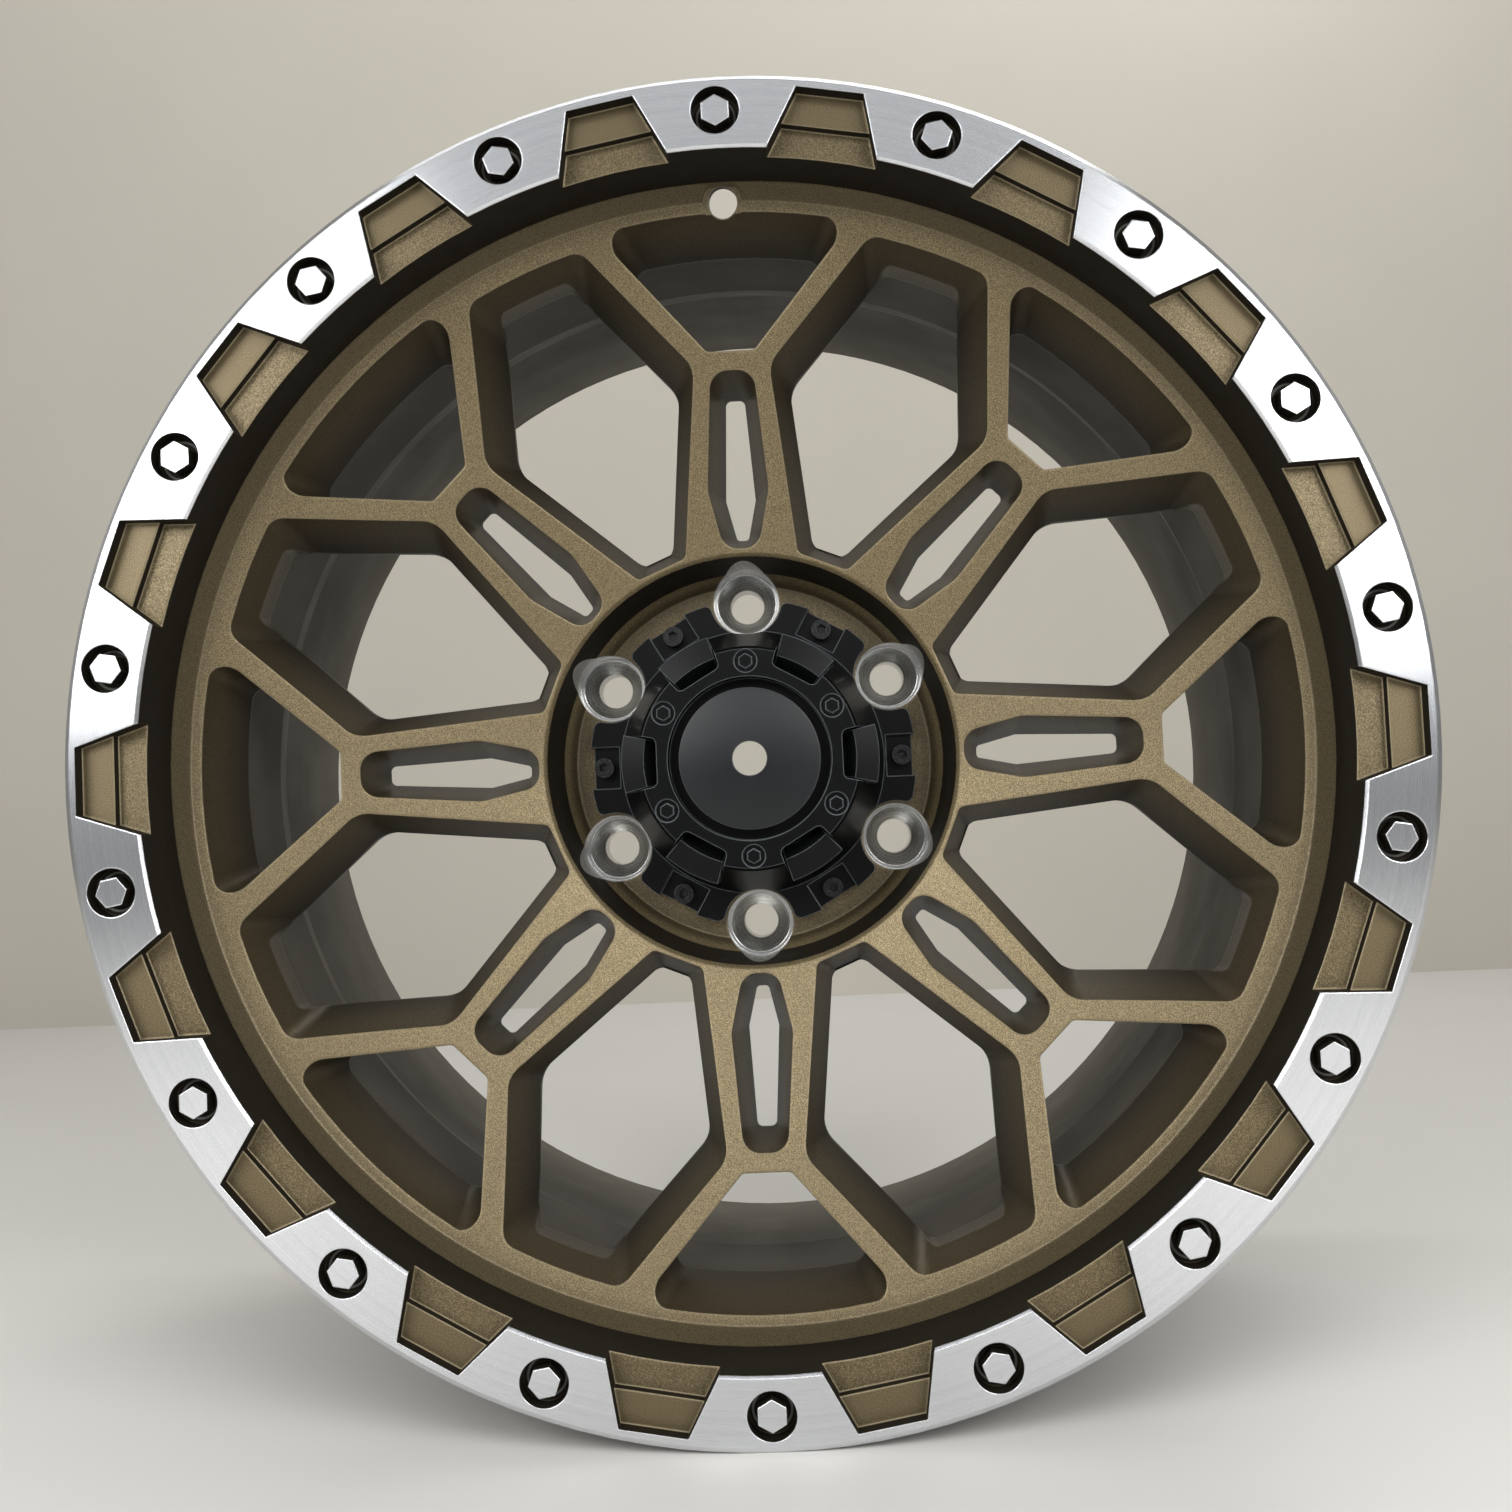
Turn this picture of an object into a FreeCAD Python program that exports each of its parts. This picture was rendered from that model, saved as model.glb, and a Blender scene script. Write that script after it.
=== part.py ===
import FreeCAD, Part
import math
import os

import Sketcher

# A cast alloy wheel, 18 by 9 inch, six lug holes, with a screwed-on plastic centre cap.
# Each body is drawn with its axis along its own Z and its face looking to +Z, spoke at the top on +Y.
# Its placement then turns the face to -Y and the top to +Z. A depth is measured back from the lip.

# Driving dimensions in millimetres, with slopes as plain ratios: name, value, what it is
SIZES = [
    ("overall_width", 253.0, "rim width over both flanges"),
    ("flange_thick", 12.2, "thickness of each rim flange"),
    ("bead_r", 231.0, "bead seat radius at the flange"),
    ("flange_height", 18.0, "flange height above the bead seat"),
    ("flange_round", 7.0, "height and width of the slope behind each flange edge"),
    ("bead_width", 21.0, "width of each bead seat"),
    ("bead_drop", 1.8, "fall of a bead seat over its width"),
    ("hump_height", 1.4, "safety hump above the bead seat's low end"),
    ("hump_width", 8.0, "width of the safety hump"),
    ("well_r", 212.0, "outer radius of the drop centre"),
    ("well_start", 64.0, "depth where the drop centre starts"),
    ("well_width", 38.0, "width of the drop centre"),
    ("rise_width", 40.0, "width of the slope behind the drop centre"),
    ("barrel_r", 224.0, "outer radius of the barrel behind that slope"),
    ("barrel_wall", 7.0, "wall of the barrel"),
    ("rear_rim_r", 225.0, "inner radius of the rear opening"),
    ("rear_rim_depth", 243.0, "depth of the rear opening's narrow edge"),
    ("rear_lip", 12.0, "width of the rear flange's outer face"),
    ("lip_inner_r", 221.5, "inner radius of the bright lip"),
    ("lip_inner_bevel", 1.0, "bevel of the lip's inner edge"),
    ("lip_outer_bevel", 2.5, "bevel of the lip's outer edge"),
    ("lip_foot", 5.0, "slope where the lip wall meets the ring, measured each way"),
    ("ring_r", 205.0, "radius where the face depth is given"),
    ("face_depth", 40.0, "depth of the spoke face at that radius"),
    ("face_slope", 0.335, "fall of the spoke face towards the hub"),
    ("back_depth", 64.0, "depth of the spokes' back at that radius"),
    ("back_slope", 0.4, "fall of the spokes' back towards the hub"),
    ("hub_edge_r", 85.0, "radius of the hub recess at the spoke face"),
    ("hub_edge_bevel", 1.5, "bevel of that edge"),
    ("hub_lean", 3.0, "lean of the hub recess wall"),
    ("hub_floor_depth", 112.0, "depth of the hub recess floor"),
    ("hub_foot", 5.0, "slope at the foot of the recess wall, measured each way"),
    ("mount_depth", 138.0, "depth of the mounting face"),
    ("boss_r", 88.0, "radius of the hub boss at the back"),
    ("bore_r", 53.05, "centre bore radius"),
    ("spokes", 8, "number of spokes"),
    ("window_top_depth", 30.0, "depth of the plane where the window outline is drawn"),
    ("window_low_depth", 102.0, "depth where the window's drafted wall would end"),
    ("window_draft", 0.35, "draft of the window's front wall"),
    ("window_side", 6.2, "half width of a spoke in the drawing plane"),
    ("window_arm_x", 21.6, "point on the fork arm's edge, across the spoke"),
    ("window_arm_y", 175.1, "point on the fork arm's edge, along the spoke"),
    ("window_arm_slope", 0.85, "slope of the fork arm's edge"),
    ("window_outer_r", 212.1, "outer radius of the window"),
    ("window_hub_r", 70.3, "distance of the window's hub end"),
    ("window_fork_round", 15.6, "corner at the fork"),
    ("window_outer_round", 9.0, "outer corners"),
    ("window_hub_round", 7.4, "corners at the hub end"),
    ("window_low_round", 1.0, "all corners at the low end"),
    ("through_side", 40.0, "half width of a spoke's steep rear wall, carried to the axis"),
    ("through_side_slope", 0.11, "narrowing of that wall outwards"),
    ("through_arm_x", 33.0, "point on the fork arm's rear wall, across the spoke"),
    ("through_arm_y", 163.5, "point on the fork arm's rear wall, along the spoke"),
    ("through_arm_slope", 1.0, "slope of the fork arm's rear wall"),
    ("through_outer_r", 204.4, "outer radius of the steep rear wall"),
    ("through_hub_r", 96.0, "distance of the rear wall's hub end"),
    ("through_fork_round", 12.0, "corner of the rear wall at the fork"),
    ("through_round", 4.0, "other corners of the rear wall"),
    ("fork_outer_half", 48.0, "half width of the small window at its outer end, corners sharp"),
    ("fork_outer_y", 204.4, "place of those corners along the spoke"),
    ("fork_inner_half", 9.6, "half width of the small window at its inner end"),
    ("fork_inner_y", 163.3, "place of the inner end along the spoke"),
    ("fork_face_r", 209.8, "outer radius of the small window at the face"),
    ("fork_outer_round", 6.0, "outer corners of the small window"),
    ("fork_inner_round", 3.0, "inner corners of the small window"),
    ("slot_lift", 3.0, "start of the slot above the spoke face"),
    ("slot_sink", 34.0, "end of the slot below the spoke face"),
    ("slot_draft", 0.205, "draft of the slot's wall"),
    ("slot_top_y", 156.2, "outer end of the slot at the face"),
    ("slot_top_half", 8.7, "half width at the outer end"),
    ("slot_belly_y", 111.0, "place of the widest point"),
    ("slot_belly_half", 12.5, "half width at the widest point"),
    ("slot_low_y", 88.0, "inner end of the slot at the face"),
    ("slot_low_half", 7.2, "half width at the inner end"),
    ("slot_round", 8.0, "corners at the slot's ends"),
    ("slot_belly_round", 14.0, "corners at the widest point"),
    ("slot_low_round", 1.2, "corners at the low end"),
    ("slot_low_narrowing", 0.75, "share of the draft by which the inner end narrows"),
    ("slot_low_shift", 1.4, "share of the draft by which the inner end moves outwards"),
    ("slot_belly_shift", 0.25, "share of the draft by which the widest point moves outwards"),
    ("slot_top_shift", 0.85, "share of the draft by which the outer end narrows and moves in"),
    ("pads", 18, "number of hexagons and of pockets in the lip"),
    ("pad_hex_r", 235.4, "radius of the ring of hexagons"),
    ("pad_hex_across", 10.2, "hexagon across flats"),
    ("pad_recess_r", 8.9, "radius of the recess round a hexagon"),
    ("pad_recess_depth", 7.0, "depth of that recess"),
    ("pocket_outer_y", 244.0, "outer edge of a lip pocket"),
    ("pocket_outer_half", 12.5, "half width at the outer edge"),
    ("pocket_lean", 0.333, "widening of a pocket towards the axis"),
    ("pocket_step_y", 232.0, "place of the step in the pocket's floor"),
    ("pocket_inner_y", 212.0, "inner end of the pocket's cut, inside the lip"),
    ("pocket_depth", 5.5, "depth of the outer floor"),
    ("pocket_low_depth", 9.0, "depth of the inner floor"),
    ("lugs", 6, "number of lug holes, cap lobes and cap screws"),
    ("lug_circle", 139.7, "diameter of the lug circle"),
    ("lug_hole_r", 7.5, "radius of a lug hole"),
    ("lug_seat_r", 12.8, "outer radius of the conical seat"),
    ("lug_seat_depth", 9.2, "height of the conical seat"),
    ("lug_pocket_r", 14.4, "radius of the nut pocket"),
    ("lug_pocket_depth", 4.5, "depth of the nut pocket below the hub floor"),
    ("valve_r", 5.75, "radius of the valve hole"),
    ("valve_recess_r", 7.8, "radius of the recess at its front"),
    ("valve_recess_depth", 4.0, "depth of that recess below the drawing plane"),
    ("valve_place_r", 215.0, "distance of the valve hole from the axis at the drawing plane"),
    ("valve_plane_depth", 33.0, "depth of that plane where the valve's axis crosses it"),
    ("valve_tilt", 20.0, "tilt of the valve hole in degrees"),
    ("valve_length", 32.0, "length of the cut"),
    ("relief_r", 9.0, "radius of the casting recesses between the lugs at the back"),
    ("relief_depth", 8.0, "depth of those recesses"),
    ("cap_depth", 65.0, "depth of the cap's front"),
    ("cap_hole_r", 7.0, "hole in the middle of the cap"),
    ("cap_disc_r", 28.8, "radius of the cap's disc"),
    ("cap_disc_drop", 1.2, "drop of the disc's edge"),
    ("cap_groove_width", 4.5, "width of the groove round the disc"),
    ("cap_groove_depth", 9.0, "depth of that groove"),
    ("cap_land_r", 45.7, "outer radius of the castle's lands"),
    ("cap_land_chamfer", 1.2, "chamfer at their outer edge"),
    ("cap_skirt_r", 56.5, "radius of the skirt where it meets the flange"),
    ("cap_wall", 3.0, "wall of the cap"),
    ("cap_flange_r", 70.3, "radius of the lobed flange"),
    ("cap_flange_thick", 8.0, "thickness of the flange"),
    ("cap_lobe_round", 3.0, "corners of the lobes"),
    ("cap_lug_gap", 1.0, "room between a lug pocket and the cap"),
    ("notch_inner_r", 37.8, "inner end of a notch between two lands"),
    ("notch_half", 9.6, "half width of a notch at its inner end"),
    ("notch_widening", 0.2, "widening of a notch outwards"),
    ("notch_depth", 14.0, "depth of a notch below the cap's front"),
    ("notch_round", 2.5, "inner corners of a notch"),
    ("wedge_angle", 26.0, "angle of a wedge block in degrees"),
    ("wedge_gap", 1.0, "gap behind a wedge block"),
    ("wedge_crest_r", 43.5, "radius of the wedge's crest"),
    ("wedge_crest_drop", 4.0, "drop of the crest below the cap's front"),
    ("wedge_inner_drop", 7.5, "drop of the wedge's inner edge"),
    ("wedge_outer_drop", 6.0, "drop of the wedge's outer edge"),
    ("wedge_outer_r", 52.8, "outer radius of the wedge"),
    ("bolt_place_r", 39.6, "radius of the ring of moulded bolts"),
    ("bolt_recess_r", 4.7, "radius of the recess round a moulded bolt"),
    ("bolt_across", 5.2, "moulded bolt across flats"),
    ("bolt_depth", 1.6, "depth of that recess"),
    ("screw_place_r", 64.0, "radius of the ring of cap screws"),
    ("screw_r", 2.5, "screw shank radius"),
    ("screw_reach", 9.0, "length of the shank in the hub"),
    ("screw_head_r", 4.25, "screw head radius"),
    ("screw_head", 5.0, "screw head height"),
    ("screw_socket_across", 4.0, "hexagon socket across flats"),
    ("screw_socket", 2.5, "depth of the socket"),
    ("screw_pocket_half", 9.0, "half width of the lowered seat in a lobe"),
    ("screw_pocket_depth", 3.0, "depth of that seat"),
    ("screw_pocket_r", 57.5, "inner end of that seat"),
    ("lobe_dent_r", 68.6, "distance of the dent in a lobe's edge beside its screw"),
    ("screw_clearance", 0.25, "room round the shank in the cap"),
    ("screw_fit", 0.05, "room round the shank in the hub"),
    ("screw_hole_spare", 2.0, "hole depth past the screw's end"),
]


class Size:
    """A number together with the sheet formula that gives it."""

    def __init__(self, value, formula):
        self.value = value
        self.formula = formula

    def join(self, other, sign, value):
        return Size(value, f"({self.formula} {sign} {other.formula})")

    def __add__(self, other):
        other = as_size(other)
        return self.join(other, "+", self.value + other.value)

    def __sub__(self, other):
        other = as_size(other)
        return self.join(other, "-", self.value - other.value)

    def __mul__(self, other):
        other = as_size(other)
        return self.join(other, "*", self.value * other.value)

    def __truediv__(self, other):
        other = as_size(other)
        return self.join(other, "/", self.value / other.value)

    def __neg__(self):
        return Size(-self.value, f"(-1 * {self.formula})")

    def __rsub__(self, other):
        return as_size(other) - self

    def __radd__(self, other):
        return as_size(other) + self

    def __rmul__(self, other):
        return as_size(other) * self

    def __rtruediv__(self, other):
        return as_size(other) / self

    def root(self):
        return Size(math.sqrt(self.value), f"sqrt({self.formula})")


def as_size(number):
    return number if isinstance(number, Size) else Size(number, repr(number))


class Dimensions:
    """The sheet's sizes, each under its own name."""


def make_sheet(doc):
    sheet = doc.addObject("Spreadsheet::Sheet", "dims")
    sizes = Dimensions()
    for row, (name, value, note) in enumerate(SIZES, start=1):
        sheet.set(f"A{row}", note)
        sheet.set(f"B{row}", str(value))
        sheet.setAlias(f"B{row}", name)
        setattr(sizes, name, Size(value, f"dims.{name}"))
    doc.recompute()
    return sizes


doc = FreeCAD.newDocument("alloy_wheel")
d = make_sheet(doc)
FRONT = d.overall_width / 2
FACE_TURN = FreeCAD.Placement(FreeCAD.Vector(), FreeCAD.Rotation(FreeCAD.Vector(1, 0, 0), 90))
CLEAR = 1.0        # how far a cut starts or ends outside the solid


def at(depth):
    """Height of a depth behind the lip."""
    return FRONT - depth


def face_at(radius):
    """Depth of the spoke face's cone at a radius."""
    return d.face_depth + d.face_slope * (d.ring_r - radius)


def back_at(radius):
    """Depth of the cone at the back of the spokes at a radius."""
    return d.back_depth + d.back_slope * (d.ring_r - radius)


# Sketch helpers
def new_body(label):
    body = doc.addObject("PartDesign::Body", label)
    body.Label = label
    body.Placement = FACE_TURN
    return body


def origin_part(body, role):
    return next(part for part in body.Origin.OriginFeatures if part.Role == role)


def new_sketch(body, name, plane="XY_Plane", height=None, shift=None, turn=None, turn_axis="z"):
    """A sketch on one of the body's own planes, lifted, shifted and turned by formulas."""
    sketch = body.newObject("Sketcher::SketchObject", name)
    sketch.AttachmentSupport = [(origin_part(body, plane), "")]
    sketch.MapMode = "FlatFace"
    if height is not None:
        sketch.setExpression("AttachmentOffset.Base.z", height.formula)
    if shift is not None:
        sketch.setExpression("AttachmentOffset.Base.y", shift.formula)
    if turn is not None:
        for axis in "xyz":
            sketch.setExpression(f"AttachmentOffset.Rotation.Axis.{axis}", "1" if axis == turn_axis else "0")
        sketch.setExpression("AttachmentOffset.Rotation.Angle", turn)
    return sketch


def fix(sketch, kind, *where, size):
    """Adds a dimension and ties it to its formula."""
    index = sketch.addConstraint(Sketcher.Constraint(kind, *where, size.value))
    sketch.setExpression(f"Constraints[{index}]", size.formula)


def fix_point(sketch, geometry, end, point):
    fix(sketch, "DistanceX", -1, 1, geometry, end, size=as_size(point[0]))
    fix(sketch, "DistanceY", -1, 1, geometry, end, size=as_size(point[1]))


def vector(point):
    return FreeCAD.Vector(as_size(point[0]).value, as_size(point[1]).value, 0)


def draw_polygon(sketch, points):
    """A closed polygon with every corner dimensioned."""
    ends = points[1:] + points[:1]
    lines = [sketch.addGeometry(Part.LineSegment(vector(a), vector(b))) for a, b in zip(points, ends)]
    for line, following, point in zip(lines, lines[1:] + lines[:1], ends):
        sketch.addConstraint(Sketcher.Constraint("Coincident", line, 2, following, 1))
        fix_point(sketch, following, 1, point)


def draw_circle(sketch, centre, radius):
    circle = sketch.addGeometry(Part.Circle(vector(centre), FreeCAD.Vector(0, 0, 1), radius.value))
    fix_point(sketch, circle, 3, centre)
    fix(sketch, "Radius", circle, size=radius)


def draw_hexagon(sketch, centre, across):
    """A hexagon with a corner pointing along the sketch's Y."""
    x, y = centre
    half = across / 2
    reach = across / math.sqrt(3)
    draw_polygon(sketch, [(x, y + reach), (x - half, y + reach / 2), (x - half, y - reach / 2),
                          (x, y - reach), (x + half, y - reach / 2), (x + half, y + reach / 2)])


def draw_rounded(sketch, corners, arc_radius=None):
    """A closed outline with rounded corners, each given as x, y and radius, going anticlockwise.

    With an arc_radius, the edge from the last corner to the first is an arc about the sketch's origin.
    """
    count = len(corners)
    arc_edge = None if arc_radius is None else count - 1
    points = [vector(corner) for corner in corners]
    starts, stops, arcs = [], [], []
    for i, corner in enumerate(corners):
        here = points[i]
        back = (points[i - 1] - here).normalize()
        ahead = (points[(i + 1) % count] - here).normalize()
        half = back.getAngle(ahead) / 2
        radius = as_size(corner[2]).value
        start = here + back * (radius / math.tan(half))
        stop = here + ahead * (radius / math.tan(half))
        middle = (back + ahead).normalize()
        centre = here + middle * (radius / math.sin(half))
        starts.append(start)
        stops.append(stop)
        arcs.append(Part.Arc(start, centre - middle * radius, stop))
    edges = []
    for i in range(count):
        a, b = stops[i], starts[(i + 1) % count]
        if i == arc_edge:
            middle = (a + b).normalize() * arc_radius.value
            edges.append(sketch.addGeometry(Part.Arc(a, middle, b)))
        else:
            edges.append(sketch.addGeometry(Part.LineSegment(a, b)))
    corner_arcs = [sketch.addGeometry(arc) for arc in arcs]
    for i, corner in enumerate(corners):
        sketch.addConstraint(Sketcher.Constraint("Tangent", edges[i - 1], 2, corner_arcs[i], 1))
        sketch.addConstraint(Sketcher.Constraint("Tangent", corner_arcs[i], 2, edges[i], 1))
        fix(sketch, "Radius", corner_arcs[i], size=as_size(corner[2]))
        mark = sketch.addGeometry(Part.Point(points[i]), True)
        fix_point(sketch, mark, 1, corner)
        for j in (i - 1, i):
            if j % count != arc_edge:
                sketch.addConstraint(Sketcher.Constraint("PointOnObject", mark, 1, edges[j]))
    if arc_edge is not None:
        sketch.addConstraint(Sketcher.Constraint("Coincident", edges[arc_edge], 3, -1, 1))
        fix(sketch, "Radius", edges[arc_edge], size=arc_radius)


# Feature helpers
def revolve(body, name, sketch, angle=None):
    feature = body.newObject("PartDesign::Revolution", name)
    feature.Profile = sketch
    feature.ReferenceAxis = (origin_part(body, "Z_Axis"), [""])
    feature.Angle = 360
    if angle is not None:
        feature.Midplane = True
        feature.setExpression("Angle", angle.formula)
    return feature


def cut_along(body, name, sketch, length=None):
    """A pocket straight back from its sketch: right through, or of one length."""
    feature = body.newObject("PartDesign::Pocket", name)
    feature.Profile = sketch
    if length is None:
        feature.Type = "ThroughAll"
    else:
        feature.setExpression("Length", length.formula)
    return feature


def cut_between(body, name, first, second):
    """A ruled cut from one outline to another."""
    feature = body.newObject("PartDesign::SubtractiveLoft", name)
    feature.Profile = first
    feature.Sections = [second]
    feature.Ruled = True
    return feature


def cut_round(body, name, sketch):
    """A turned cut about the sketch's own first construction line."""
    feature = body.newObject("PartDesign::Groove", name)
    feature.Profile = sketch
    feature.ReferenceAxis = (sketch, ["Axis0"])
    feature.Angle = 360
    return feature


def repeat(body, name, features, count):
    pattern = body.newObject("PartDesign::PolarPattern", name)
    pattern.Originals = features
    pattern.Axis = (origin_part(body, "Z_Axis"), [""])
    pattern.Angle = 360
    pattern.setExpression("Occurrences", count.formula)
    body.Tip = pattern
    doc.recompute()
    return pattern


def upright_edges(feature, radius):
    """Names of the straight edges along the axis at this distance from it."""
    names = []
    for number, edge in enumerate(feature.Shape.Edges, start=1):
        if isinstance(edge.Curve, Part.Line) and abs(abs(edge.Curve.Direction.z) - 1) < 1e-6:
            place = edge.Vertexes[0].Point
            if abs(math.hypot(place.x, place.y) - radius.value) < 1e-4:
                names.append(f"Edge{number}")
    return names


def round_edges(body, name, feature, edges, radius):
    fillet = body.newObject("PartDesign::Fillet", name)
    fillet.Base = (feature, edges)
    fillet.setExpression("Radius", radius.formula)
    body.Tip = fillet
    doc.recompute()
    return fillet


# The wheel
def rim_section():
    """Radius and height of each corner of the turned section, from the bore round by the front."""
    rim_r = d.bead_r + d.flange_height
    seat_end = d.flange_thick + d.bead_width
    seat_r = d.bead_r - d.bead_drop
    hump_r = seat_r + d.hump_height
    hump_end = seat_end + d.hump_width
    well_end = d.well_start + d.well_width
    rise_end = well_end + d.rise_width
    inner_well_r = d.well_r - d.barrel_wall
    inner_barrel_r = d.barrel_r - d.barrel_wall
    wide = d.overall_width
    hub_wall_r = d.hub_edge_r - d.hub_lean
    hub_rim_r = d.hub_edge_r + d.hub_edge_bevel
    corners = [
        (d.bore_r, d.hub_floor_depth),
        (hub_wall_r - d.hub_foot, d.hub_floor_depth),
        (hub_wall_r, d.hub_floor_depth - d.hub_foot),
        (d.hub_edge_r, face_at(hub_rim_r) + d.hub_edge_bevel),
        (hub_rim_r, face_at(hub_rim_r)),
        (d.lip_inner_r - d.lip_foot, face_at(d.lip_inner_r - d.lip_foot)),
        (d.lip_inner_r, face_at(d.lip_inner_r) - d.lip_foot),
        (d.lip_inner_r, d.lip_inner_bevel),
        (d.lip_inner_r + d.lip_inner_bevel, as_size(0.0)),
        (rim_r - d.lip_outer_bevel, as_size(0.0)),
        (rim_r, d.lip_outer_bevel),
        (rim_r, d.flange_thick - d.flange_round),
        (rim_r - d.flange_round, d.flange_thick),
        (d.bead_r, d.flange_thick),
        (seat_r, seat_end),
        (hump_r, seat_end + d.hump_width / 2),
        (seat_r, hump_end),
        (d.well_r, d.well_start),
        (d.well_r, well_end),
        (d.barrel_r, rise_end),
        (seat_r, wide - hump_end),
        (hump_r, wide - seat_end - d.hump_width / 2),
        (seat_r, wide - seat_end),
        (d.bead_r, wide - d.flange_thick),
        (rim_r - d.flange_round, wide - d.flange_thick),
        (rim_r, wide - d.flange_thick + d.flange_round),
        (rim_r, wide),
        (rim_r - d.rear_lip, wide),
        (d.rear_rim_r, d.rear_rim_depth),
        (inner_barrel_r, rise_end),
        (inner_well_r, well_end),
        (inner_well_r, back_at(inner_well_r)),
        (d.boss_r, back_at(d.boss_r)),
        (d.boss_r, d.mount_depth),
        (d.bore_r, d.mount_depth),
    ]
    return [(radius, at(depth)) for radius, depth in corners]


def turn_from_top(steps):
    """Formula for turning clockwise from the top by half of one step."""
    return f"-180 / {steps.formula}"


def window_corners(side, arm, outer_r, hub_r, rounds):
    """Corners of a large window, in a frame whose Y is the middle line between two spokes.

    side is the spoke's edge as half width and narrowing, arm is the fork arm's edge as a point and a
    slope, all measured from the spoke's own middle line.
    """
    side_half, side_slope = side
    arm_x, arm_y, arm_slope = arm
    fork_round, outer_round, hub_round = rounds
    half_step = Size(180 / d.spokes.value, f"(180 / {d.spokes.formula})")
    sine = Size(math.sin(math.radians(half_step.value)), f"sin({half_step.formula})")
    cosine = Size(math.cos(math.radians(half_step.value)), f"cos({half_step.formula})")

    def across(x, y):
        return x * cosine - y * sine

    def along(x, y):
        return x * sine + y * cosine

    # Hub end: where the line at hub_r across the window meets the spoke's edge
    hub_y = (hub_r - side_half * sine) / (cosine - side_slope * sine)
    hub_x = side_half - side_slope * hub_y
    # Fork: where the spoke's edge meets the arm's edge
    fork_y = (arm_y + arm_slope * (side_half - arm_x)) / (1 + arm_slope * side_slope)
    fork_x = side_half - side_slope * fork_y
    # Outer end: where the arm's edge meets the outer circle
    foot = (arm_y - arm_slope * arm_x) / (1 + arm_slope * arm_slope).root()
    tilt = 1 / (1 + arm_slope * arm_slope).root()
    reach = (outer_r * outer_r - foot * foot).root()
    outer_x = reach * tilt - foot * arm_slope * tilt
    outer_y = reach * arm_slope * tilt + foot * tilt
    hub = (across(hub_x, hub_y), along(hub_x, hub_y), hub_round)
    fork = (across(fork_x, fork_y), along(fork_x, fork_y), fork_round)
    outer = (across(outer_x, outer_y), along(outer_x, outer_y), outer_round)
    left = [outer, fork, hub]
    right = [(-x, y, rounding) for x, y, rounding in reversed(left)]
    return left + right


def window_outline(body, name, height, offset, rounds):
    """The large window's drafted outline, drawn in by an offset."""
    lean = (1 + d.window_arm_slope * d.window_arm_slope).root()
    corners = window_corners(
        side=(d.window_side + offset, as_size(0.0)),
        arm=(d.window_arm_x, d.window_arm_y - offset * lean, d.window_arm_slope),
        outer_r=d.window_outer_r - offset,
        hub_r=d.window_hub_r + offset,
        rounds=rounds)
    sketch = new_sketch(body, name, height=height, turn=turn_from_top(d.spokes))
    draw_rounded(sketch, corners, arc_radius=d.window_outer_r - offset)
    return sketch


def cut_windows(body):
    """Large windows between the spokes: a drafted front wall that breaks into a steep rear wall."""
    top = window_outline(body, "window_top", at(d.window_top_depth), as_size(0.0),
                         (d.window_fork_round, d.window_outer_round, d.window_hub_round))
    offset = d.window_draft * (d.window_low_depth - d.window_top_depth)
    low = window_outline(body, "window_low", at(d.window_low_depth), offset, (d.window_low_round,) * 3)
    flare = cut_between(body, "window_flare", top, low)
    through_sketch = new_sketch(body, "window_through_outline", height=at(d.window_top_depth),
                                turn=turn_from_top(d.spokes))
    corners = window_corners(
        side=(d.through_side, d.through_side_slope),
        arm=(d.through_arm_x, d.through_arm_y, d.through_arm_slope),
        outer_r=d.through_outer_r,
        hub_r=d.through_hub_r,
        rounds=(d.through_fork_round, d.through_round, d.through_round))
    draw_rounded(through_sketch, corners, arc_radius=d.through_outer_r)
    through = cut_along(body, "window_through", through_sketch)
    doc.recompute()
    repeat(body, "windows", [flare, through], d.spokes)


def fork_corners(outer_r, outer_round):
    """Corners of the small window in a spoke's fork, its outer edge on a circle."""
    slope = (d.fork_outer_y - d.fork_inner_y) / (d.fork_outer_half - d.fork_inner_half)
    foot = (d.fork_outer_y - slope * d.fork_outer_half) / (1 + slope * slope).root()
    tilt = 1 / (1 + slope * slope).root()
    reach = (outer_r * outer_r - foot * foot).root()
    outer_x = reach * tilt - foot * slope * tilt
    outer_y = reach * slope * tilt + foot * tilt
    return [
        (-outer_x, outer_y, outer_round),
        (-d.fork_inner_half, d.fork_inner_y, d.fork_inner_round),
        (d.fork_inner_half, d.fork_inner_y, d.fork_inner_round),
        (outer_x, outer_y, outer_round),
    ]


def cut_forks(body):
    """Small windows in the forks: steep walls, flared only at the outer edge."""
    drop = d.fork_face_r - d.through_outer_r
    ends = (
        ("fork_top", d.window_top_depth, d.fork_face_r + drop),
        ("fork_low", d.back_depth, d.through_outer_r),
    )
    outlines = []
    for name, depth, outer_r in ends:
        sketch = new_sketch(body, name, height=at(depth))
        draw_rounded(sketch, fork_corners(outer_r, d.fork_outer_round), arc_radius=outer_r)
        outlines.append(sketch)
    flare = cut_between(body, "fork_flare", *outlines)
    through_sketch = new_sketch(body, "fork_through_outline", height=at(d.window_top_depth))
    through_corners = fork_corners(d.through_outer_r, d.fork_outer_round)
    draw_rounded(through_sketch, through_corners, arc_radius=d.through_outer_r)
    through = cut_along(body, "fork_through", through_sketch)
    doc.recompute()
    repeat(body, "forks", [flare, through], d.spokes)


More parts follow.
